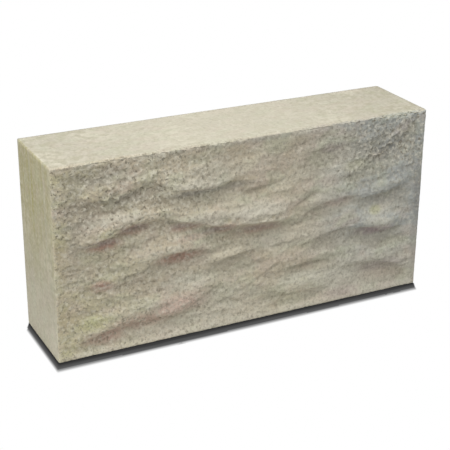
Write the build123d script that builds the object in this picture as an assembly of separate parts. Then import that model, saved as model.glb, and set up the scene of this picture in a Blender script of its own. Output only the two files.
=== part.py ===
from build123d import *
import os

import numpy as np

# Rock-faced concrete block, cast in one piece.
# X runs along the block, Y from the rock face to the plain back, Z up from the lower bed.
# The origin is under the middle of the block, on the lower bed.

# Sizes in millimetres. The thickness is that of the beds, from the flat border of the face to the back.
LENGTH = 390.0
HEIGHT = 190.0
THICKNESS = 90.0

# How far the boldest ledge stands out from the flat border
FACE_PROUD = 3.5

# The back and the boldest ledge lie equally far from the origin
BACK = (THICKNESS + FACE_PROUD) / 2

# Worn edges of the casting
ARRIS_RADIUS = 1.5

# Ledges of the rock face: each swells out above its lip and is hollow below it, like a bed of split slate
LIP_HEIGHT = 12.0
SWELL_HEIGHT = 20.0
HOLLOW_HEIGHT = 15.0

# Flat border that the ledges die away into
END_BORDER = 10.0
BED_BORDER = 8.0

# Spacing of the points that the face is drawn through, and how far they run past its edges
POINT_SPACING = 4.0
POINT_OVERRUN = 8.0

# Each ledge has a breadth that its lip, swell and hollow are multiplied by, and the points that its lip
# passes through from left to right. A point has its place in per cent of the face's length and height,
# and the ledge's boldness there against the others.
LEDGES = {
    "upper_left": (1.0, [
        (4, 78, 0), (9, 78, 0.5), (13, 77, 0.5), (19, 80, 0.6), (23, 82.5, 0.5), (27, 83, 0),
    ]),
    "upper_left_shelf": (0.8, [(5, 72.5, 0), (10, 73.5, 0.25), (16, 74.5, 0.3), (22, 76.5, 0)]),
    "upper_bow": (1.0, [
        (23, 83, 0), (25, 81.5, 0.5), (28, 78.5, 0.8), (31, 76.5, 1.1), (39, 75.5, 1.1), (48, 77, 0.5),
        (57, 79.5, 0),
    ]),
    "upper_bow_shelf": (0.7, [(46, 71.5, 0), (51, 72, 0.35), (58, 72.5, 0)]),
    "main_left": (1.0, [
        (4.5, 59.5, 0), (8, 57.5, 0.7), (12, 57.5, 0.9), (16, 60.5, 1), (20, 63.5, 1), (23, 64.5, 0.7),
        (27, 63.5, 0),
    ]),
    "main": (1.2, [
        (22, 64, 0), (26, 63, 0.4), (31, 61, 0.8), (36, 57.5, 1), (42, 54.5, 1.2), (50, 52, 1.4),
        (56, 51, 1.5), (59, 51, 1.2), (63, 51.5, 0),
    ]),
    "right_run": (0.8, [(61, 52, 0), (66, 54, 0.4), (71, 56.5, 0.5), (76, 57.5, 0.5), (82, 57, 0)]),
    "right_bow": (1.0, [
        (79, 57, 0), (83, 55.5, 0.6), (88, 56, 0.7), (93, 58.5, 0.6), (97, 63, 0.2), (99, 66, 0),
    ]),
    "knuckle": (1.1, [
        (15, 39.5, 0), (20, 40, 0.3), (26, 42.5, 0.8), (31, 43.5, 1.1), (36, 43.5, 0.9), (44, 41, 0),
    ]),
    "low_shelf": (0.8, [(38, 36, 0), (41, 36, 0.6), (48, 36.5, 0.6), (52, 38, 0.3), (57, 40, 0)]),
    "faint_left": (0.8, [(4, 36, 0), (9, 36, 0.25), (12, 35.5, 0.25), (16, 33.5, 0)]),
    "right_rise": (0.8, [(62, 33, 0), (67, 35, 0.3), (72, 39, 0.45), (77, 40.5, 0.4), (82, 41.5, 0)]),
    "right_fall": (1.0, [
        (78, 39, 0), (82, 38.5, 0.7), (85, 37, 1.1), (89, 35, 1.2), (93, 35.5, 0.4), (98, 36.5, 0),
    ]),
    "low_eyebrow": (0.7, [(58, 23, 0), (65, 25, 0.4), (70, 26, 0.35), (77, 24, 0)]),
    "long_diagonal": (0.7, [
        (37, 10, 0), (44, 12.5, 0.2), (50, 17, 0.25), (57, 25, 0.2), (62, 29, 0.2), (69, 29.5, 0),
    ]),
    "low_left": (1.0, [
        (2, 5.5, 0), (7, 8, 0.5), (16, 12, 0.7), (26, 13, 0.8), (32, 12.5, 0.7), (37, 18.5, 0.6), (44, 23, 0),
    ]),
    "low_left_branch": (0.7, [(20, 16, 0), (25, 19, 0.35), (29, 20.5, 0)]),
    "low_right": (0.9, [
        (74, 20, 0), (79, 19, 0.5), (84, 17, 0.7), (90, 15.5, 0.75), (94, 12, 0.6), (99, 8, 0),
    ]),
    "bed_shelf": (0.8, [(53, 11, 0), (60, 9.5, 0.35), (68, 9, 0.4), (78, 10.5, 0)]),
    "crown": (0.8, [(55, 86, 0), (63, 88, 0.3), (71, 86.5, 0.5), (77, 88.5, 0.3), (84, 86, 0)]),
    "right_shoulder": (0.9, [(80, 77, 0), (86, 77, 0.5), (90, 80.5, 0.6), (93, 84.5, 0.4), (98, 92, 0)]),
    "right_nick": (0.7, [(62, 62.5, 0), (67, 65, 0.25), (72, 67.5, 0)]),
}


def ease(share):
    """Go from 0 to 1 with no kink at either end."""
    share = np.clip(share, 0, 1)
    return share * share * (3 - 2 * share)


def place_between(at, x):
    """Which two points of a ledge x lies between, how far apart they are, and x's share of the way."""
    i = np.clip(np.searchsorted(at, x) - 1, 0, len(at) - 2)
    span = at[i + 1] - at[i]
    return i, span, (x - at[i]) / span


def lip_height(at, up, x):
    """Height of a ledge's lip at x, on a smooth curve through the ledge's points."""
    slope = np.gradient(up, at)
    i, span, t = place_between(at, x)
    start = up[i] * (2 * t**3 - 3 * t**2 + 1) + slope[i] * span * (t**3 - 2 * t**2 + t)
    end = up[i + 1] * (3 * t**2 - 2 * t**3) + slope[i + 1] * span * (t**3 - t**2)
    return start + end


def boldness_at(at, boldness, x):
    """Boldness of a ledge at x, easing from each of its points to the next."""
    i, span, t = place_between(at, x)
    return boldness[i] + (boldness[i + 1] - boldness[i]) * ease(t)


def ledge_relief(x, z, breadth, points):
    """How far one ledge stands out of the face, or sinks below it, at the points x, z, in any unit."""
    along_share, up_share, boldness = np.transpose(points)
    at = along_share * LENGTH / 100
    up = up_share * HEIGHT / 100
    along = np.clip(x, at[0], at[-1])
    lip = lip_height(at, up, along)
    lean = np.gradient(lip, x[0], axis=1)
    above = (z - lip) / np.hypot(1, lean) / breadth
    step = np.tanh(2 * above / LIP_HEIGHT)
    fade = np.exp(-((above / np.where(above > 0, SWELL_HEIGHT, HOLLOW_HEIGHT)) ** 2))
    return boldness_at(at, boldness, along) * step * fade


def face_relief(x, z):
    """All ledges together, dying away into the flat border, in any unit."""
    relief = sum(ledge_relief(x, z, *ledge) for ledge in LEDGES.values())
    border = ease(np.minimum(x, LENGTH - x) / END_BORDER) * ease(np.minimum(z, HEIGHT - z) / BED_BORDER)
    return relief * border


def even_steps(side):
    """Places along a side of the face, a point's spacing apart, running past both ends."""
    count = round((side + 2 * POINT_OVERRUN) / POINT_SPACING) + 1
    return np.linspace(-POINT_OVERRUN, side + POINT_OVERRUN, count)


def rock_face():
    """The rock face as one smooth surface, lofted through level sections of the relief."""
    across = even_steps(LENGTH)
    up = even_steps(HEIGHT)
    x, z = np.meshgrid(across, up)
    relief = face_relief(x, z)
    front = FACE_PROUD * (1 - relief / relief.max()) - BACK
    sections = [
        Wire([Edge.make_spline(list(zip(across - LENGTH / 2, row, level)), parameters=list(across))])
        for row, level in zip(front, z)
    ]
    return Shell.make_loft(sections).face()


def make_block():
    """The casting: a box whose front is cut back to the rock face, with every edge worn round."""
    blank = Pos(0, BACK - THICKNESS, HEIGHT / 2) * Box(LENGTH, 2 * THICKNESS, HEIGHT)
    behind_face = extrude(rock_face(), amount=2 * THICKNESS, dir=(0, 1, 0))
    block = blank & behind_face
    return fillet(block.edges(), ARRIS_RADIUS)


os.makedirs("parts", exist_ok=True)
export_step(make_block(), "parts/block.step")
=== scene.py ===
# %% [markdown]
# # A rock-faced concrete block, dressed in Blender
#
# The block is a solid walling block, cast in one piece in pale buff concrete. One long face is
# cast as split rock, with low ledges that run along it; the other five faces are plain.
# Its size and its ledges come ready measured, as a fixed model that is never moved. This lesson
# adds what a camera sees close up: the open grain of the concrete, its pits and its stains.
# Blender counts in metres, so a size in millimetres is written here times MM.

import math

import bpy
from mathutils import Matrix, Vector


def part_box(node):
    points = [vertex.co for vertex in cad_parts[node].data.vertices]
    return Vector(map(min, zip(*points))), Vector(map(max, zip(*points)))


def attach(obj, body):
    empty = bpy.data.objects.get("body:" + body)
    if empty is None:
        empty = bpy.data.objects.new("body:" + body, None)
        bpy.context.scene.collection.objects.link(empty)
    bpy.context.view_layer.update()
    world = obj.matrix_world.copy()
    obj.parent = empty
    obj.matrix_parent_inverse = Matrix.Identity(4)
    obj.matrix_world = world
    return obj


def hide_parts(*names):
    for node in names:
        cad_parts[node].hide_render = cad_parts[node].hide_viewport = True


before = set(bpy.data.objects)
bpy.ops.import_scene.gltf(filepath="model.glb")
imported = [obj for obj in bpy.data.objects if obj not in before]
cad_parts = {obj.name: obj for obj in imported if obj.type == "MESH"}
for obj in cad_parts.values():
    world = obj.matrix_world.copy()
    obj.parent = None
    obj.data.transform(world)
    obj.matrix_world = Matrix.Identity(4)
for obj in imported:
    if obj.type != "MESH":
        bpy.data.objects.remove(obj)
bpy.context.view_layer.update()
cad_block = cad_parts["block"]
low, high = (Vector(corner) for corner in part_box("block"))
size = high - low
block_middle = (low + high) / 2
MM = 0.001
print("block measures", [round(side / MM, 1) for side in size], "mm")

# %% [markdown]
# ## The camera
#
# The photograph was taken from the left of the rock face and a little above it, with a long lens.
# The seven corners that show in it were enough to work out where the camera stood, so its place and
# its turn are written here as measured values, the place from the foot of the block's plain back.
# The lens is in millimetres on a 36 mm wide sensor.

# %% Place the camera
CAMERA_PLACE = Vector((0, high.y, 0)) + Vector((-497.7, -1028.1, 560.7)) * MM
CAMERA_AZIMUTH = math.radians(-26.67)
CAMERA_ELEVATION = math.radians(23.36)
CAMERA_ROLL = math.radians(0.46)
LENS = 97.8

camera = bpy.data.objects.new("camera", bpy.data.cameras.new("camera"))
bpy.context.collection.objects.link(camera)
camera.data.lens = LENS
turn = Matrix.Rotation(CAMERA_AZIMUTH, 4, "Z") @ Matrix.Rotation(math.pi / 2 - CAMERA_ELEVATION, 4, "X")
camera.matrix_world = Matrix.Translation(CAMERA_PLACE) @ turn @ Matrix.Rotation(CAMERA_ROLL, 4, "Z")
bpy.context.scene.camera = camera
bpy.context.scene.view_settings.view_transform = "Standard"
print("camera stands", round((CAMERA_PLACE - block_middle).length, 3), "m from the block's middle")

# %% [markdown]
# ## Light
#
# The top of the block is the brightest face, and the front and the left end get about half as much
# light. One soft lamp overhead, a little in front, gives that and lets each ledge shade the hollow
# below it. A weaker lamp at the left lights the end, and a pale sky fills in the rest. The sky would
# have to be far too bright to look white, so the camera sees a white one and the block a dimmer one.


# %% Helpers for node trees
def empty_tree(owner):
    """The node tree of a world or a material, with nothing in it yet."""
    owner.use_nodes = True
    owner.node_tree.nodes.clear()
    return owner.node_tree


def show_apart(tree, seen, lighting, out):
    """Show one shader to the camera, and let another one light the scene."""
    path = tree.nodes.new("ShaderNodeLightPath")
    pick = tree.nodes.new("ShaderNodeMixShader")
    tree.links.new(path.outputs["Is Camera Ray"], pick.inputs["Fac"])
    tree.links.new(lighting.outputs[0], pick.inputs[1])
    tree.links.new(seen.outputs[0], pick.inputs[2])
    tree.links.new(pick.outputs[0], out.inputs["Surface"])


def grey(value):
    """A neutral colour."""
    return (value, value, value, 1)


# %% A pale sky
SKY = 0.30

world = bpy.data.worlds.new("pale_sky")
bpy.context.scene.world = world
sky = empty_tree(world)
seen = sky.nodes.new("ShaderNodeBackground")
seen.inputs["Color"].default_value = grey(1)
lighting = sky.nodes.new("ShaderNodeBackground")
lighting.inputs["Color"].default_value = grey(1)
lighting.inputs["Strength"].default_value = SKY
show_apart(sky, seen, lighting, sky.nodes.new("ShaderNodeOutputWorld"))
print("the sky gives the block", SKY, "of full white")

# %% Two soft lamps
LAMP_WIDTH = 1.2
MAIN_LAMP = Vector((-0.25, -0.44, 1.5))
MAIN_POWER = 17.2
END_LAMP = Vector((-1.6, -0.2, 0.35))
END_POWER = 6


def add_lamp(name, place, power):
    """A soft square lamp that faces the middle of the block."""
    lamp = bpy.data.objects.new(name, bpy.data.lights.new(name, "AREA"))
    bpy.context.collection.objects.link(lamp)
    lamp.data.size = LAMP_WIDTH
    lamp.data.energy = power
    lamp.location = place
    lamp.rotation_euler = (lamp.location - block_middle).to_track_quat("Z", "Y").to_euler()
    print(name, "gives", power, "W and is", LAMP_WIDTH, "m wide")


add_lamp("main_lamp", MAIN_LAMP, MAIN_POWER)
add_lamp("end_lamp", END_LAMP, END_POWER)

# %% [markdown]
# ## The floor and the shadow on it
#
# The floor is a plain pale sheet that the camera sees white, and it keeps the block's shadow, which
# is narrow and dark. A lamp high behind the right end would cast it, but it would also light the
# block, so the shadow is worked out instead. The floor starts as a fine grid round the block, and
# the grid's border is pulled out into the wide floor. From each point of the grid a few rays go up
# towards such a lamp, and those that the block stops darken the point, most where they are stopped
# low down.

# %% The floor, with a fine grid round the block
FLOOR_WIDTH = 12.0
GRID_STEP = 1.1 * MM
GRID_MARGIN = 30 * MM

grid_size = Vector((size.x + 2 * GRID_MARGIN, size.y + 2 * GRID_MARGIN, 1))
bpy.ops.object.select_all(action="DESELECT")
bpy.ops.mesh.primitive_grid_add(
    x_subdivisions=round(grid_size.x / GRID_STEP), y_subdivisions=round(grid_size.y / GRID_STEP), size=1,
)
floor = bpy.context.object
floor.name = "floor"
floor.scale = grid_size
bpy.ops.object.transform_apply(location=True, rotation=True, scale=True)
bpy.ops.object.mode_set(mode="EDIT")
bpy.ops.mesh.select_mode(type="EDGE")
bpy.ops.mesh.select_all(action="DESELECT")
bpy.ops.mesh.select_non_manifold()
bpy.ops.mesh.extrude_region_move()
bpy.ops.transform.resize(value=(FLOOR_WIDTH / grid_size.x, FLOOR_WIDTH / grid_size.y, 1))
bpy.ops.object.mode_set(mode="OBJECT")
floor_size = [round(side, 2) for side in floor.dimensions]
print("floor is", floor_size, "m, with", len(floor.data.vertices), "points")


# %% Helper for values in between
def between(start, end, share):
    """The value that lies at a share of the way from the start to the end."""
    return start + (end - start) * share


# %% Work out the shadow
# From the edge of the top's shadow to the foot of the block, and the shares of it that the rays lean by
TOP_EDGE_THROW = Vector((5.5, 12.5, 0)) * MM
PENUMBRA = (0.74, 0.86, 0.97, 1.08, 1.18)

# Light that a ray still brings when it is stopped at the block's foot, or at its top edge
SHADOW_AT_FOOT = 0.03
SHADOW_AT_EDGE = 0.15

# Rays start just below the floor, so that those from under the block meet its lower bed
JUST_BELOW = Vector((0, 0, -MM))


def light_left(point):
    """How much light a point of the floor gets. A ray that is stopped higher up leaves more of it."""
    total = 0.0
    for share in PENUMBRA:
        ray = share * TOP_EDGE_THROW + Vector((0, 0, size.z))
        stopped, place = cad_block.ray_cast(point + JUST_BELOW, ray.normalized())[:2]
        total += between(SHADOW_AT_FOOT, SHADOW_AT_EDGE, place.z / size.z) if stopped else 1.0
    return total / len(PENUMBRA)


shadow = floor.data.color_attributes.new(name="shadow", type="FLOAT_COLOR", domain="POINT")
for point, colour in zip(floor.data.vertices, shadow.data):
    near = abs(point.co.x) < grid_size.x and abs(point.co.y) < grid_size.y
    colour.color = grey(light_left(point.co) if near else 1)
print("points in shadow:", sum(colour.color[0] < 1 for colour in shadow.data))

# %% Show the floor white, but for the shadow
FLOOR_GREY = 0.60

floor_material = bpy.data.materials.new("pale_floor")
floor_tree = empty_tree(floor_material)
shade = floor_tree.nodes.new("ShaderNodeBsdfDiffuse")
shade.inputs["Color"].default_value = grey(FLOOR_GREY)
painted_shadow = floor_tree.nodes.new("ShaderNodeAttribute")
painted_shadow.attribute_name = "shadow"
glow = floor_tree.nodes.new("ShaderNodeEmission")
floor_tree.links.new(painted_shadow.outputs["Color"], glow.inputs["Color"])
show_apart(floor_tree, glow, shade, floor_tree.nodes.new("ShaderNodeOutputMaterial"))
floor.data.materials.append(floor_material)
print("floor reflects", FLOOR_GREY, "of the light")

# %% [markdown]
# ## The casting
#
# The real block is one lump of concrete pressed in a mould. Here it starts as a cube at the block's
# size. Edges are cut into even strips, finer on the rock face and for a few millimetres round its
# edge than elsewhere, because only there does the grain stand up enough to need geometry.
# A Shrinkwrap modifier then lays the mesh on the measured block.

# %% Find the flat border of the rock face
CLEARANCE = 100 * MM
BORDER_INSET = 3 * MM


def level_at(x, z):
    """Where a line from in front of the block, going straight back, meets the rock face."""
    start = Vector((x, low.y - CLEARANCE, z))
    return cad_block.ray_cast(start, Vector((0, 1, 0)))[1].y


border_y = level_at(low.x + BORDER_INSET, low.z + BORDER_INSET)
print("flat border lies", round((border_y - low.y) / MM, 2), "mm behind the boldest ledge")

# %% Start from a cube of the block's size
bpy.ops.object.select_all(action="DESELECT")
start_size = Vector((size.x, high.y - border_y, size.z))
start_middle = Vector((block_middle.x, (high.y + border_y) / 2, block_middle.z))
bpy.ops.mesh.primitive_cube_add(size=1, location=start_middle, scale=start_size)
block = bpy.context.object
block.name = "cast_block"
bpy.ops.object.transform_apply(location=True, rotation=True, scale=True)
print("start cube", [round(side, 4) for side in block.dimensions])

# %% Helpers for cutting it into strips
X, Y, Z = range(3)
STRAIGHT = 0.99
MESH_STEP = 2.3 * MM
LONG_SIDE = 80


def select_edges_along(piece, axis, keep=lambda middle: True):
    """Select the edges that run along one axis and whose middle passes the test."""
    bpy.ops.object.mode_set(mode="EDIT")
    bpy.ops.mesh.select_mode(type="EDGE")
    bpy.ops.mesh.select_all(action="DESELECT")
    bpy.ops.object.mode_set(mode="OBJECT")
    points = piece.data.vertices
    for edge in piece.data.edges:
        start, end = (points[i].co for i in edge.vertices)
        run = end - start
        edge.select = abs(run[axis]) > STRAIGHT * run.length and keep((start + end) / 2)
    bpy.ops.object.mode_set(mode="EDIT")


def slice_at(y):
    """Cut the active piece by an upright plane at one depth, and keep both sides."""
    bpy.ops.object.mode_set(mode="EDIT")
    bpy.ops.mesh.select_all(action="SELECT")
    bpy.ops.mesh.bisect(plane_co=(0, y, 0), plane_no=(0, 1, 0))
    bpy.ops.object.mode_set(mode="OBJECT")


def strips(length):
    """How many mesh steps a length takes."""
    return max(1, round(length / MESH_STEP))


def cut_strips(piece, axis, length, keep=lambda middle: True):
    """Divide the chosen edges evenly. A long side is halved first, because one go makes at most a
    hundred cuts.
    """
    halves = 2 if strips(length) > LONG_SIDE else 1
    for parts in (halves, round(strips(length) / halves)):
        if parts > 1:
            select_edges_along(piece, axis, keep)
            bpy.ops.mesh.subdivide(number_cuts=parts - 1)
            bpy.ops.object.mode_set(mode="OBJECT")


# %% Cut it into strips
FACE_BAND = 7 * MM
BACK_BAND = 5 * MM
SIDE_STEP = 4 * MM

face_band_end = border_y + FACE_BAND
back_band_start = high.y - BACK_BAND
slice_at(face_band_end)
slice_at(back_band_start)
cut_strips(block, X, size.x)
cut_strips(block, Z, size.z)
cut_strips(block, Y, FACE_BAND, lambda middle: middle.y < face_band_end)
cut_strips(block, Y, BACK_BAND, lambda middle: middle.y > back_band_start)
select_edges_along(block, Y, lambda middle: face_band_end < middle.y < back_band_start)
bpy.ops.mesh.subdivide(number_cuts=round((size.y - FACE_BAND - BACK_BAND) / SIDE_STEP))
print("faces after the even cuts:", len(block.data.polygons))

# %% Halve the mesh on the rock face and round its edge
bpy.ops.mesh.select_mode(type="FACE")
bpy.ops.mesh.select_all(action="DESELECT")
bpy.ops.object.mode_set(mode="OBJECT")
for face in block.data.polygons:
    face.select = face.center.y < face_band_end
bpy.ops.object.mode_set(mode="EDIT")
bpy.ops.mesh.subdivide(number_cuts=1)
bpy.ops.object.mode_set(mode="OBJECT")
print("faces in the blank:", len(block.data.polygons), "triangles:", 2 * len(block.data.polygons))

# %% Helpers for weights and modifiers
ARRIS = 2 * MM


def from_edge(co):
    """How far inside the outline of the rock face a point is."""
    return min(co.x - low.x, high.x - co.x, co.z - low.z, high.z - co.z)


def weigh(piece, name, weight):
    """Fill a vertex group, with a weight worked out from each point's place."""
    group = piece.vertex_groups.new(name=name)
    weights = {point.index: weight(point.co) for point in piece.data.vertices}
    chosen = {index: amount for index, amount in weights.items() if amount > 0}
    for index, amount in chosen.items():
        group.add([index], amount, "REPLACE")
    print(name, "has", len(chosen), "points")


def apply_modifier(piece, kind, name, **settings):
    """Add a modifier, set it and apply it."""
    modifier = piece.modifiers.new(name, kind)
    for key, value in settings.items():
        setattr(modifier, key, value)
    bpy.context.view_layer.objects.active = piece
    bpy.ops.object.modifier_apply(modifier=modifier.name)


# %% Lay it on the measured block
FLAT = 0.1 * MM


def in_rock_face(co):
    """Whether a point is on the front and clear of its worn edges."""
    return co.y < border_y + FLAT and from_edge(co) > ARRIS


weigh(block, "rock_face", lambda co: float(in_rock_face(co)))
apply_modifier(
    block, "SHRINKWRAP", "lay_on_rock", target=cad_block, wrap_method="PROJECT", use_project_y=True,
    use_negative_direction=True, use_positive_direction=True, vertex_group="rock_face",
)
weigh(block, "plain_faces", lambda co: float(not in_rock_face(co)))
apply_modifier(
    block, "SHRINKWRAP", "lay_on_plain", target=cad_block, wrap_method="NEAREST_SURFACEPOINT",
    vertex_group="plain_faces",
)
print("laid on; dimensions", [round(side / MM, 2) for side in block.dimensions])

# %% [markdown]
# ## The ledges, deeper
#
# The mould was cast from split stone. The measured block has its ledges, a little softer than they
# are on the real face. They could be carved again, but a stretch keeps each of them where it is: the
# points of the rock face are moved away from its flat border, in front of it and behind.

# %% Deepen the ledges
DEEPER = 1.4

bpy.ops.object.mode_set(mode="EDIT")
bpy.ops.mesh.select_mode(type="VERT")
bpy.ops.mesh.select_all(action="DESELECT")
bpy.ops.object.mode_set(mode="OBJECT")
for point in block.data.vertices:
    point.select = point.co.y < face_band_end - MM and from_edge(point.co) > ARRIS
bpy.ops.object.mode_set(mode="EDIT")
bpy.ops.transform.resize(value=(1, DEEPER, 1), center_override=(0, border_y, 0))
bpy.ops.object.mode_set(mode="OBJECT")
print("deepened; dimensions", [round(side / MM, 2) for side in block.dimensions])

# %% [markdown]
# ## Relief that the mould left
#
# Between the ledges the face is full of low folds that run along it, and all of it is covered by
# coarse grains that broke out here and there. Sculpting that by hand would take days. A Displace
# modifier reads a noise texture instead and moves the surface along its normals, mostly inward, so
# the block keeps its size. Vertex groups say where it works: fully on the rock face, and hardly at
# all on the beds and the ends, which a smooth mould wall formed. The plain back gets the rock face's
# relief too, which it shouldn't; the helper on_face says why.


# %% Helpers for relief
def noise_texture(name, grain, depth=2, contrast=1.0):
    """A soft noise whose lumps are about as wide as the grain."""
    texture = bpy.data.textures.new(name, "CLOUDS")
    texture.noise_scale = grain
    texture.noise_depth = depth
    texture.contrast = contrast
    return texture


def press_in(piece, texture, depth, group, stretch=None, level=1.0):
    """Press the surface in by up to the depth, where the texture is dark and the group has weight.
    With a level below 1, the parts of the texture that are lighter than the level stand out instead.
    """
    settings = {"texture_coords": "LOCAL"}
    if stretch:
        frame_of_noise = bpy.data.objects.new("frame_of_noise", None)
        frame_of_noise.scale = stretch
        bpy.context.collection.objects.link(frame_of_noise)
        bpy.context.view_layer.update()
        settings = {"texture_coords": "OBJECT", "texture_coords_object": frame_of_noise}
    apply_modifier(
        piece, "DISPLACE", "press_" + texture.name, texture=texture, direction="NORMAL", strength=depth,
        mid_level=level, vertex_group=group, **settings,
    )
    if stretch:
        bpy.data.objects.remove(frame_of_noise)


def ramp(value, start, end):
    """Go smoothly from 0 at the start to 1 at the end."""
    share = min(1, max(0, (value - start) / (end - start)))
    return share * share * (3 - 2 * share)


# %% Helpers for places on the rock face
ARRIS_FADE = (1.5 * MM, 3.5 * MM)
OVAL_CORE = 0.2
OVAL_REACH = 1.2


def on_face(co):
    """1 on the rock face and its arrises, and 0 on the beds, the ends and the edges of the back. A known
    fault: it is 1 inside the edges of the back as well, because only the outline is asked for there.
    """
    return 1 - ramp(co.y - border_y, *ARRIS_FADE) * (1 - float(from_edge(co) > ARRIS))


def in_ovals(co, ovals, upper=1.0):
    """The strongest of some soft ovals at a place on the face. Each is given by its middle, half length
    and half height in millimetres, its tilt in degrees and its strength. The upper half of them all can
    be made lower, for a sharper edge there.
    """
    strongest = 0.0
    for x, z, half_length, half_height, tilt, strength in ovals:
        away = Vector((co.x / MM - x, co.z / MM - z))
        if away.length < OVAL_REACH * max(half_length, half_height):
            away = Matrix.Rotation(-math.radians(tilt), 2) @ away
            across = away.y / (upper if away.y > 0 else 1)
            reach = math.hypot(away.x / half_length, across / half_height)
            strongest = max(strongest, strength * (1 - ramp(reach, OVAL_CORE, OVAL_REACH)))
    return strongest


# %% Where the folds and the grains work
FOLD_BORDER = (2 * MM, 16 * MM)

# Places along and up the face between which the grain opens, and how open it is low down on the left
UPPER_LEFT_ALONG = (20 * MM, -100 * MM)
UPPER_LEFT_UP = (90 * MM, 140 * MM)
UPPER_RIGHT_ALONG = (60 * MM, 130 * MM)
UPPER_RIGHT_UP = (110 * MM, 150 * MM)
LEFT_ALONG = (40 * MM, -120 * MM)
LEFT_OPENNESS = 0.5

# Weight that is left of the grains where they are closed and at the margins, and how wide those are
CLOSED_GRAIN = 0.62
FOOT_GRAIN = 0.35
FOOT_MARGIN = (1 * MM, 8 * MM)
LEFT_GRAIN = 0.6
LEFT_MARGIN = (2 * MM, 8 * MM)
RIGHT_GRAIN = 0.3
RIGHT_MARGIN = (6 * MM, 12 * MM)


def fold_weight(co):
    """Folds fade out over the flat border."""
    return on_face(co) * ramp(from_edge(co), *FOLD_BORDER)


def open_grain(co):
    """Where the grain is open: mostly in the two upper corners, least low down on the right."""
    upper_left = ramp(co.z, *UPPER_LEFT_UP) * ramp(co.x, *UPPER_LEFT_ALONG)
    upper_right = ramp(co.z, *UPPER_RIGHT_UP) * ramp(co.x, *UPPER_RIGHT_ALONG)
    return max(upper_left, upper_right, LEFT_OPENNESS * ramp(co.x, *LEFT_ALONG))


def grain_weight(co):
    """Grains are shallower where the face is closed, and fade towards its foot and both its ends."""
    openness = between(CLOSED_GRAIN, 1, open_grain(co))
    foot = between(FOOT_GRAIN, 1, ramp(co.z, *FOOT_MARGIN))
    right = between(RIGHT_GRAIN, 1, ramp(high.x - co.x, *RIGHT_MARGIN))
    left = between(LEFT_GRAIN, 1, ramp(co.x - low.x, *LEFT_MARGIN))
    return on_face(co) * openness * foot * right * left


# %% Where coarse grains broke out
BROKEN_PATCHES = [
    (148, 157, 36, 18, 25, 1.0), (-140, 150, 36, 12, 8, 1.0), (-110, 157, 30, 8, 20, 0.6),
    (-20, 110, 30, 6, -10, 0.7), (18, 106, 28, 5, -3, 1.0), (-125, 123, 30, 6, 15, 0.8),
    (130, 120, 16, 8, 0, 0.5), (-172, 140, 10, 40, 0, 0.7), (-150, 175, 34, 12, 0, 0.6),
    (120, 135, 22, 12, 0, 0.6), (-60, 158, 40, 8, 0, 0.4), (60, 172, 60, 8, 0, 0.35),
    (-130, 190, 50, 4, 0, 0.6), (-30, 190, 50, 3, 0, 0.5), (70, 190, 50, 4, 0, 0.6),
    (165, 190, 30, 5, 0, 0.9),
]
BROKEN_MARGIN = 5 * MM


def broken_weight(co):
    """Patches where coarse grains broke out of the lips and the top arris."""
    return on_face(co) * in_ovals(co, BROKEN_PATCHES) * ramp(high.x - abs(co.x), 0, BROKEN_MARGIN)


# %% Where the creases and the air holes are
CREASES = [
    (-149, 110.5, 17, 6, 7, 0.9), (-115, 118, 22, 6, 12, 0.9), (-78, 117.5, 19, 6.5, -15, 0.9),
    (-45, 107, 20, 8, -18, 1.0), (5, 99, 36, 9, -2, 1.0), (-145, 148, 22, 4, -3, 0.6),
    (-113, 154.5, 18, 4, 18, 0.7), (-90, 155, 14, 5, -28, 0.9), (-62, 146, 20, 6, -9, 0.85),
    (-22, 145, 28, 6, 6, 0.6), (12, 137, 22, 4, 7, 0.7), (-140, 139, 24, 3.5, 5, 0.6),
    (-82, 138, 18, 3.5, -38, 0.5), (-72, 84.5, 26, 6, 3, 0.7), (-40, 81.5, 11, 3.5, -5, 0.5),
    (-117, 73, 24, 3.5, 8, 0.6), (-13, 71.5, 24, 5, 7, 0.8), (-155, 74, 9, 3, 5, 0.4),
    (-160, 67, 10, 3, 5, 0.4), (35, 74, 18, 3, 6, 0.4), (28, 52.5, 14, 5, 27, 0.55),
    (2, 39, 20, 5, 27, 0.55), (-30, 25.5, 18, 5, 18, 0.55), (70, 71.5, 20, 4, 14, 0.6),
    (103, 76.5, 17, 4, 3, 0.6), (140, 70, 28, 5.5, -10, 0.8), (167, 67.5, 11, 4, 8, 0.6),
    (63, 47, 30, 4.5, 1, 0.7), (128, 36, 19, 5, -8, 0.6), (160, 28, 21, 5, -17, 0.7),
    (55, 18, 36, 4, 0, 0.4), (-148, 19.5, 26, 5, 12, 0.7), (-108, 20.5, 36, 5, 5, 0.7),
    (-60, 29, 16, 5, 29, 0.7), (-41, 39, 10, 3.5, 30, 0.5), (53, 93, 11, 4, 16, 0.6),
    (60, 117, 14, 3.5, 28, 0.4), (80, 106, 20, 5, 14, 0.7), (110, 110, 13, 4, -3, 0.5),
    (138, 106, 22, 5, 4, 0.8), (165, 110.5, 12, 5, 18, 0.8), (72, 164, 17, 3.5, 5, 0.4),
    (157, 157, 24, 7, 28, 1.0),
]
CREASE_UPPER_EDGE = 0.4
PITS = [(-97, 62, 2.2), (-92, 52, 2.6), (-25, 92, 1.8), (-20, 148, 1.8), (-152, 61, 1.8), (40, 20, 1.6)]


def crease_weight(co):
    """Thin creases right under the lips, where one bed of the split stone ended. Their upper side is
    steep and their lower side runs out softly.
    """
    return on_face(co) * in_ovals(co, CREASES, CREASE_UPPER_EDGE)


def pit_weight(co):
    """Small round holes that air left against the mould, given by place and radius in millimetres."""
    return on_face(co) * in_ovals(co, [(x, z, radius, radius, 0, 1.0) for x, z, radius in PITS])


# %% Weigh the block for each relief
weigh(block, "folds", fold_weight)
weigh(block, "creases", crease_weight)
weigh(block, "broken", broken_weight)
weigh(block, "pits", pit_weight)
weigh(block, "grains", grain_weight)
weigh(block, "all_over", lambda co: 1.0)

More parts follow.
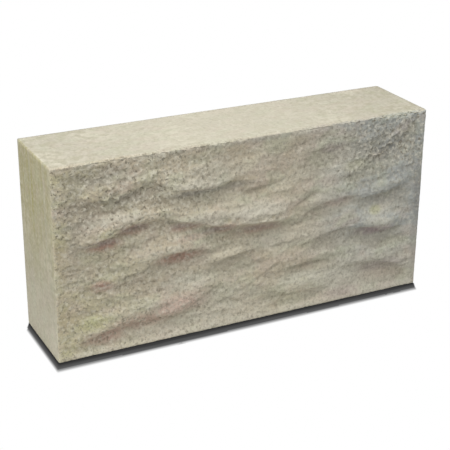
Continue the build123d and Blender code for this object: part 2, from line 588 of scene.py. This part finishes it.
# %% Press the folds and ripples in
FOLD_SIZE = (34 * MM, 34 * MM, 11 * MM)
FOLD_DEPTH = 2.4 * MM
RIPPLE_SIZE = (18 * MM, 18 * MM, 6.5 * MM)
RIPPLE_DEPTH = 1.6 * MM
HALF_IN = 0.7

# A lump one unit wide, which the stretch then gives its size
UNIT = 1.0

folds = noise_texture("folds", UNIT, depth=1)
press_in(block, folds, FOLD_DEPTH, "folds", stretch=FOLD_SIZE, level=HALF_IN)
ripples = noise_texture("ripples", UNIT, depth=1)
press_in(block, ripples, RIPPLE_DEPTH, "folds", stretch=RIPPLE_SIZE)
print("folded; dimensions", [round(side / MM, 2) for side in block.dimensions])

# %% Press the grains, creases and air holes in
GRAIN = 2.8 * MM
GRAIN_DEPTH = 2.4 * MM
BROKEN_GRAIN = 4.5 * MM
BROKEN_CONTRAST = 1.5
BROKEN_DEPTH = 3.2 * MM
CREASE_DEPTH = 2.0 * MM
PIT_DEPTH = 2.2 * MM
MOULD_WAVE = 25 * MM
MOULD_WAVE_DEPTH = 0.25 * MM

press_in(block, noise_texture("grains", GRAIN), GRAIN_DEPTH, "grains")
press_in(block, noise_texture("broken", BROKEN_GRAIN, contrast=BROKEN_CONTRAST), BROKEN_DEPTH, "broken")
for hollow, depth in (("creases", CREASE_DEPTH), ("pits", PIT_DEPTH)):
    apply_modifier(
        block, "DISPLACE", "press_" + hollow, direction="NORMAL", strength=-depth, mid_level=0,
        vertex_group=hollow,
    )
press_in(block, noise_texture("mould_wave", MOULD_WAVE, depth=1), MOULD_WAVE_DEPTH, "all_over")
print("pressed in; dimensions", [round(side / MM, 2) for side in block.dimensions])

# %% [markdown]
# ## A mask for the finish
#
# The rock face has another finish than the plain faces, and on it the colour follows the relief:
# its crowns are painted paler, as painted highlight, and its hollows darker, as painted shade. The
# finish could be painted by hand on a picture, but then it would have only the picture's detail. One
# colour attribute is painted on the mesh instead, as a mask for patterns that are worked out. Its red
# tells rock face from plain, its green where the grain is open, and its blue how far a place stands out.

# %% Paint the mask
FACING_FRONT = (0.35, 0.75)
MASK_BORDER = (2 * MM, 7 * MM)
PROUDEST = -2.5 * MM
DEEPEST = 4.5 * MM
NEITHER_CROWN_NOR_HOLLOW = 0.5

mask = block.data.color_attributes.new(name="mask", type="FLOAT_COLOR", domain="POINT")
for point, colour in zip(block.data.vertices, mask.data):
    rock = ramp(-point.normal.y, *FACING_FRONT)
    height = 1 - ramp(point.co.y - border_y, PROUDEST, DEEPEST)
    inside = ramp(from_edge(point.co), *MASK_BORDER)
    colour.color = (rock, open_grain(point.co), between(NEITHER_CROWN_NOR_HOLLOW, height, inside), 1)
print("mask on", len(mask.data), "points")

# %% [markdown]
# ## The concrete
#
# Dry concrete has no gloss at all. Its colour is a buff cement paste with lighter and darker sand
# grains in it, and the wide tone drifts by a few per cent where the mix was wetter. A photograph of
# concrete could be laid over the block, but it would repeat and stretch. The colour is built up in
# layers of noise instead, and every layer reads Object coordinates in metres, so the pattern is
# fixed to the block. Each noise is shifted by a number of its own, so that no two layers match.

# %% Start the concrete and find the surface's places
concrete = bpy.data.materials.new("concrete")
tree = empty_tree(concrete)
nodes = tree.nodes
place = nodes.new("ShaderNodeTexCoord").outputs["Object"]
split = nodes.new("ShaderNodeSeparateXYZ")
tree.links.new(place, split.inputs[0])
along, back, up = split.outputs
painted = nodes.new("ShaderNodeAttribute")
painted.attribute_name = "mask"
channels = nodes.new("ShaderNodeSeparateColor")
tree.links.new(painted.outputs["Color"], channels.inputs[0])
on_rock, open_share, height_share = channels.outputs
print("the concrete reads", painted.attribute_name, "and places along, back and up")


# %% Helpers for shares between 0 and 1
def feed(socket, value):
    """Link a socket to another, or set it to a plain value."""
    if isinstance(value, bpy.types.NodeSocket):
        tree.links.new(value, socket)
    else:
        socket.default_value = value


def reckon(operation, first, second=0.0):
    """The result of one sum on values, kept between 0 and 1."""
    node = nodes.new("ShaderNodeMath")
    node.operation = operation
    node.use_clamp = True
    feed(node.inputs[0], first)
    feed(node.inputs[1], second)
    return node.outputs[0]


def product(first, *others):
    """Shares multiplied with each other."""
    for other in others:
        first = reckon("MULTIPLY", first, other)
    return first


def added(first, *others):
    """Shares added up, to 1 at most."""
    for other in others:
        first = reckon("ADD", first, other)
    return first


def fade(value, start, end):
    """0 at the start and 1 at the end, with a soft change between."""
    node = nodes.new("ShaderNodeMapRange")
    node.interpolation_type = "SMOOTHSTEP"
    feed(node.inputs["Value"], value)
    node.inputs["From Min"].default_value = start
    node.inputs["From Max"].default_value = end
    return node.outputs["Result"]


# %% Helpers for layers of colour
def noise(lump, detail=2.0, stretch=(1, 1, 1), shift=0.0):
    """Soft noise with lumps of a size in metres, which can be stretched along an axis."""
    mapping = nodes.new("ShaderNodeMapping")
    mapping.inputs["Scale"].default_value = [1 / (lump * longer) for longer in stretch]
    mapping.inputs["Location"].default_value = (shift, shift, shift)
    tree.links.new(place, mapping.inputs["Vector"])
    node = nodes.new("ShaderNodeTexNoise")
    node.inputs["Scale"].default_value = 1.0
    node.inputs["Detail"].default_value = detail
    tree.links.new(mapping.outputs["Vector"], node.inputs["Vector"])
    return node.outputs["Fac"]


def tint(colour, other, share):
    """Lay another colour over a colour, by a share."""
    node = nodes.new("ShaderNodeMix")
    node.data_type = "RGBA"
    feed(node.inputs["Factor"], share)
    feed(node.inputs[6], colour)
    feed(node.inputs[7], other)
    return node.outputs[2]


# %% The paste: buff, drifting in tone
BUFF = (0.62, 0.58, 0.465, 1)
PALE_BUFF = (0.745, 0.70, 0.56, 1)
YELLOW_BUFF = (0.56, 0.525, 0.395, 1)
DRIFT = 45 * MM
DRIFT_FADE = (0.40, 0.70)
MOTTLE = 8 * MM
MOTTLE_FADE = (0.40, 0.66)

drift = noise(DRIFT, detail=3)
colour = tint(BUFF, PALE_BUFF, fade(drift, *DRIFT_FADE))
colour = tint(colour, YELLOW_BUFF, fade(noise(MOTTLE, shift=5.0), *MOTTLE_FADE))
print("paste is made of", len(nodes), "nodes")

# %% [markdown]
# ## Tones of the plain faces
#
# The top is a little paler in its middle. The left end has faint upright streaks of a yellower tone,
# strongest high up and towards the back, and its foot is painted paler, as painted light from the
# floor. They could be painted on the mesh, but its strips are too coarse there. Each is a share of one
# flat colour instead, laid over the paste.

# %% The top, paler in its middle
TOP_FADE = (high.z - 2 * MM, high.z - 0.5 * MM)
TOP_ALONG = (190 * MM, 40 * MM)
TOP_SHARE = 0.5

on_top = fade(up, *TOP_FADE)
top_middle = product(on_top, TOP_SHARE, fade(reckon("ABSOLUTE", along), *TOP_ALONG))
colour = tint(colour, PALE_BUFF, top_middle)
print("with the top:", len(nodes), "nodes")

# %% The left end, with painted floor light at its foot and yellow streaks
OLIVE = (0.50, 0.455, 0.22, 1)
END_FADE = (low.x + 2 * MM, low.x + 0.5 * MM)
END_FOOT_UP = (90 * MM, 10 * MM)
END_FOOT_SHARE = 0.5
STREAK = 10 * MM
STREAK_STRETCH = (1, 0.4, 12)
STREAK_FADE = (0.0, 0.8)

# The streaks' share grows upwards and backwards, on top of a share that they have all over the end
STREAK_UP = (20 * MM, 170 * MM)
STREAK_LOW_SHARE = 0.12
STREAK_BACK = (-40 * MM, 30 * MM)
STREAK_FRONT_SHARE = 0.7

on_end = fade(along, *END_FADE)
# Painted light: the end is made paler towards its foot, as light bounced from the floor would make it
end_foot_light = product(on_end, fade(up, *END_FOOT_UP), END_FOOT_SHARE)
colour = tint(colour, PALE_BUFF, end_foot_light)
streaks = fade(noise(STREAK, stretch=STREAK_STRETCH, shift=3.0), *STREAK_FADE)
higher = added(fade(up, *STREAK_UP), STREAK_LOW_SHARE)
further_back = added(fade(back, *STREAK_BACK), STREAK_FRONT_SHARE)
colour = tint(colour, OLIVE, product(streaks, product(on_end, higher, further_back)))
print("with the left end:", len(nodes), "nodes")

# %% [markdown]
# ## Tones of the rock face
#
# The rock face is a warmer buff than the plain faces. It is yellower at the far left, has warm
# patches all over, and goes a cooler grey at the right, most of all high up. Its crowns are painted
# pale, as painted highlight, its hollows darker, as painted shade, and its foot is paler. These tones
# read the mask, so they end where the rock face ends. Faint pink and green patches keep the whole
# from looking dyed, and they are laid on the plain faces too, at half their share.

# %% The rock face's own buffs
ROCK_BUFF = (0.705, 0.642, 0.492, 1)
LEFT_BUFF = (0.70, 0.64, 0.427, 1)
LEFT_FADE = (-80 * MM, -160 * MM)
WARM_BUFF = (0.67, 0.585, 0.435, 1)
WARM_PATCH = 22 * MM
WARM_FADE = (0.42, 0.62)
COOL_GREY = (0.50, 0.523, 0.497, 1)
COOL_ALONG = (30 * MM, 140 * MM)
COOL_UP = (20 * MM, 120 * MM)
COOL_LOW_SHARE = 0.42
COOL_SHARE = 0.95

colour = tint(colour, ROCK_BUFF, on_rock)
colour = tint(colour, LEFT_BUFF, product(fade(along, *LEFT_FADE), on_rock))
warm = noise(WARM_PATCH, detail=3, stretch=(2, 1, 1), shift=7.0)
colour = tint(colour, WARM_BUFF, product(fade(warm, *WARM_FADE), on_rock))
higher = added(fade(up, *COOL_UP), COOL_LOW_SHARE)
colour = tint(colour, COOL_GREY, product(fade(along, *COOL_ALONG), on_rock, higher, COOL_SHARE))
print("with the rock face's buffs:", len(nodes), "nodes")

# %% Faint pink and green patches
PINK_BUFF = (0.70, 0.59, 0.50, 1)
GREEN_BUFF = (0.60, 0.63, 0.455, 1)
PATCH = 16 * MM
PATCH_FADE = (0.48, 0.66)
PATCH_SHARE_PLAIN = 0.2
PATCH_SHARE_MORE_ON_ROCK = 0.2

for other, shift in ((PINK_BUFF, 41.0), (GREEN_BUFF, 43.0)):
    patches = fade(noise(PATCH, stretch=(1.7, 1, 1), shift=shift), *PATCH_FADE)
    patch_share = added(product(on_rock, PATCH_SHARE_MORE_ON_ROCK), PATCH_SHARE_PLAIN)
    colour = tint(colour, other, product(patches, patch_share))
print("with the patches:", len(nodes), "nodes")

# %% Painted highlight on the crowns, painted shade in the hollows, and a paler foot
# Pale tone for the painted highlight on the crowns and the paler foot, dark tone for painted shade in
# hollows
PALE_TONE_AND_HIGHLIGHT = (0.76, 0.725, 0.60, 1)
CROWN_FADE = (0.62, 0.92)
CROWN_SHARE = 0.5
HOLLOW_SHADE = (0.42, 0.38, 0.29, 1)
HOLLOW_FADE = (0.38, 0.10)
HOLLOW_SHARE = 0.45
FOOT_FADE = (10 * MM, 1 * MM)
FOOT_SHARE = 0.45

# Painted highlight: the crowns are made paler, the more so the further they stand out
colour = tint(colour, PALE_TONE_AND_HIGHLIGHT, product(fade(height_share, *CROWN_FADE), on_rock, CROWN_SHARE))
# Painted shade: the hollows are made darker, the more so the deeper they lie
colour = tint(colour, HOLLOW_SHADE, product(fade(height_share, *HOLLOW_FADE), on_rock, HOLLOW_SHARE))
# The foot of the rock face is made paler
colour = tint(colour, PALE_TONE_AND_HIGHLIGHT, product(fade(up, *FOOT_FADE), on_rock, FOOT_SHARE))
print("with crowns and hollows:", len(nodes), "nodes")

# %% [markdown]
# ## Stains, painted shade and painted highlight on the rock face
#
# Rain has left reddish and mauve stains in the hollows under the longest ledges, moss a yellowish
# green low on the left, and dampness a grey at the upper right, along the top and down the right
# edge. The same grey also paints shade, as thin lines in the creases under the ledges. Wide places
# between them are paler, partly as paler concrete and partly as painted highlight on the swells, and
# some are pinkish. None of this is even, so noise alone can't place it. Each stain is a list of soft
# ovals, laid where the real face has it, and one ragged noise breaks them all up.

# %% The colours and places of stains, painted shade and painted highlight
# Each oval has its middle, half width and half height in millimetres, and its strength
# Pale ovals, many on the swells above the ledges: partly paler concrete and partly painted highlight
PALE_AND_HIGHLIGHT_SPOTS = [
    (150, 90, 32, 9, 0.6), (60, 34, 34, 9, 0.5), (-62, 55, 34, 10, 0.45), (104, 140, 28, 9, 0.5),
    (-132, 132, 32, 7, 0.4), (8, 118, 36, 10, 0.4), (-72, 34, 32, 10, 0.7), (-20, 34, 40, 12, 0.3),
    (36, 80, 44, 12, 0.35), (-80, 12, 60, 14, 0.25), (-20, 14, 50, 18, 0.4), (110, 20, 60, 20, 0.45),
    (100, 155, 26, 12, 0.3), (100, 108, 40, 10, 0.25), (98, 32, 34, 12, 0.35),
]
PINK_SPOTS = [
    (-72, 35, 34, 13, 1.0), (-60, 100, 24, 5, 0.6), (98, 108, 20, 7, 0.45), (150, 20, 30, 10, 0.25),
    (-112, 26, 44, 10, 0.6), (-150, 16, 28, 9, 0.6), (100, 8, 40, 8, 0.3), (-150, 68, 14, 7, 0.5),
]
TAN_SPOTS = [
    (-186, 42, 12, 16, 0.7), (-172, 38, 12, 9, 0.4), (-188, 112, 9, 13, 0.8), (-188, 80, 7, 16, 0.3),
]
RUST_SPOTS = [
    (-145, 108, 22, 8, 1.0), (-118, 118, 19, 7, 0.9), (-67, 112, 22, 6, 0.8), (-28, 103, 20, 7, 0.8),
    (12, 95, 28, 6, 0.7), (-72, 82, 30, 8, 0.95), (-150, 68, 13, 7, 0.9), (-150, 16, 26, 8, 0.5),
    (-112, 23, 40, 9, 0.35), (88, 165, 14, 4, 0.3),
]
MAUVE_SPOTS = [
    (142, 70, 26, 7, 1.0), (155, 30, 34, 9, 0.5), (99, 110, 14, 5, 0.4), (105, 9, 24, 7, 0.35),
]
MOSS_SPOTS = [
    (-158, 33, 24, 10, 0.6), (-188, 56, 8, 8, 0.4), (142, 92, 9, 6, 0.6), (-188, 118, 8, 9, 0.3),
    (115, 143, 16, 8, 0.25), (-185, 10, 12, 8, 0.5),
]
# Grey of dampness at the upper right, along the top and down the right edge, and painted shade as thin
# grey lines in the creases under the ledges
DAMP_AND_SHADE_SPOTS = [
    (153, 157, 24, 10, 0.65), (-55, 144, 30, 5, 0.5), (-15, 145, 34, 5, 0.3), (187, 150, 9, 45, 0.5),
    (-125, 149, 30, 8, 0.3), (-150, 172, 40, 12, 0.3), (190, 60, 7, 60, 0.4), (-172, 130, 24, 44, 0.15),
    (-148, 110, 20, 4, 0.4), (-116, 118, 20, 4, 0.4), (-68, 113, 22, 4, 0.35), (-32, 103, 22, 4, 0.45),
    (12, 96, 30, 4, 0.35), (-35, 163, 40, 16, 0.2), (191, 105, 9, 36, 0.6), (88, 165, 14, 5, 0.45),
    (160, 130, 26, 10, 0.2), (150, 112, 28, 7, 0.35), (-140, 187, 70, 5, 0.2), (-40, 187, 90, 5, 0.3),
    (60, 187, 90, 5, 0.35), (140, 187, 50, 5, 0.15),
]
STAINS_AND_PAINTED_LIGHT = {
    "pale": ((0.80, 0.772, 0.65, 1), PALE_AND_HIGHLIGHT_SPOTS),
    "pink": ((0.74, 0.58, 0.475, 1), PINK_SPOTS),
    "tan": ((0.60, 0.515, 0.345, 1), TAN_SPOTS),
    "rust": ((0.48, 0.31, 0.24, 1), RUST_SPOTS),
    "mauve": ((0.42, 0.35, 0.34, 1), MAUVE_SPOTS),
    "moss": ((0.60, 0.60, 0.32, 1), MOSS_SPOTS),
    "damp_and_shade": ((0.32, 0.325, 0.31, 1), DAMP_AND_SHADE_SPOTS),
}

# %% Lay the stains, painted shade and painted highlight on
STAIN_EDGE = (1.15, 0.25)
RAGGED = 7 * MM
RAGGED_FADE = (0.20, 0.50)

ragged = noise(RAGGED, detail=4, stretch=(1.6, 1, 1), shift=11.0)


def vector_sum(operation, first, second=(0, 0, 0)):
    """A node that does one sum on places."""
    node = nodes.new("ShaderNodeVectorMath")
    node.operation = operation
    feed(node.inputs[0], first)
    feed(node.inputs[1], second)
    return node


def stains(spots):
    """The share of a stain at each place, from soft ragged ovals; some lists paint shade or highlight
    too.
    """
    total = 0.0
    for x, z, half_width, half_height, strength in spots:
        away = vector_sum("SUBTRACT", place, (x * MM, 0, z * MM)).outputs[0]
        shrink = (1 / (half_width * MM), 0, 1 / (half_height * MM))
        reach = vector_sum("LENGTH", vector_sum("MULTIPLY", away, shrink).outputs[0]).outputs["Value"]
        total = added(product(fade(reach, *STAIN_EDGE), strength), total)
    return product(total, fade(ragged, *RAGGED_FADE), on_rock)


for name, (mark_colour, spots) in STAINS_AND_PAINTED_LIGHT.items():
    colour = tint(colour, mark_colour, stains(spots))
    print(name, "stain has", len(spots), "spots")

# %% [markdown]
# ## Sand grains
#
# Broken concrete shows the cut grains of its sand, some darker and some lighter than the paste, and
# more of them where the grain is open. Real grains could be scattered as small stones, but there are
# far too many. Thresholds on fine noise give specks instead. The first three kinds are soft and lie
# everywhere, and the last two are crisp, for the coarse grains that stand apart.

# %% Scatter the sand grains
DARK_GRAIN = (0.235, 0.205, 0.15, 1)
LIGHT_GRAIN = (0.90, 0.86, 0.72, 1)

# Each kind has its colour, its size in millimetres, its noise's shift, its shares on plain faces, rock
# face and open grain, and the brightness of noise at which it starts and is full
GRAINS = [
    (DARK_GRAIN, 2.4, 17.0, (0.16, 0.31, 0.40), (0.50, 0.70)),
    (DARK_GRAIN, 4.2, 29.0, (0.12, 0.31, 0.60), (0.54, 0.70)),
    (LIGHT_GRAIN, 3.6, 23.0, (0.24, 0.27, 0.55), (0.45, 0.72)),
    (DARK_GRAIN, 3.4, 37.0, (0.0, 0.27, 0.75), (0.61, 0.68)),
    (LIGHT_GRAIN, 3.0, 53.0, (0.1, 0.14, 0.40), (0.61, 0.69)),
]

for grain, width, shift, (on_plain, on_rough, on_open), span in GRAINS:
    rough_part = product(on_rock, on_rough - on_plain)
    open_part = product(on_rock, open_share, on_open - on_rough)
    grain_share = added(rough_part, open_part, on_plain)
    specks = fade(noise(width * MM, shift=shift), *span)
    colour = tint(colour, grain, product(specks, grain_share))
    print("grains of", width, "mm laid on")

# %% [markdown]
# ## Bump and gloss
#
# Grains finer than the mesh would need millions of faces, so they are bump in the shader: full on
# the rock face, and faint on the plain faces. The surface is dull all over, a little less so where
# the wide tone is darker.

# %% Bump finer than the mesh
FINE_GRAIN = 1.3 * MM
FINE_DEPTH = 0.6 * MM
PLAIN_BUMP = 0.2

bump = nodes.new("ShaderNodeBump")
bump.inputs["Distance"].default_value = FINE_DEPTH
feed(bump.inputs["Height"], noise(FINE_GRAIN, detail=3, shift=31.0))
feed(bump.inputs["Strength"], added(product(on_rock, 1 - PLAIN_BUMP), PLAIN_BUMP))
print("bump is", FINE_DEPTH / MM, "mm deep")

# %% The shader
SPECULAR = 0.2
LEAST_ROUGH = 0.85
MOST_ROUGH = 0.98

rough = nodes.new("ShaderNodeMapRange")
feed(rough.inputs["Value"], drift)
rough.inputs["To Min"].default_value = LEAST_ROUGH
rough.inputs["To Max"].default_value = MOST_ROUGH
surface = nodes.new("ShaderNodeBsdfPrincipled")
surface.inputs["Specular IOR Level"].default_value = SPECULAR
feed(surface.inputs["Base Color"], colour)
feed(surface.inputs["Roughness"], rough.outputs["Result"])
feed(surface.inputs["Normal"], bump.outputs["Normal"])
feed(nodes.new("ShaderNodeOutputMaterial").inputs["Surface"], surface.outputs[0])
block.data.materials.append(concrete)
print("concrete has", len(nodes), "nodes")

# %% Shade the block smooth
bpy.ops.object.select_all(action="DESELECT")
block.select_set(True)
bpy.context.view_layer.objects.active = block
bpy.ops.object.shade_smooth()
print("shaded smooth:", len(block.data.polygons), "faces")

# %% [markdown]
# ## Joining it to the frame
#
# The dressed block takes the measured one's place. It is one piece that nothing moves, so it rides
# on the root, stands in for the block and carries its concrete.

# %% Join it to the frame
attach(block, "root")
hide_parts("block")
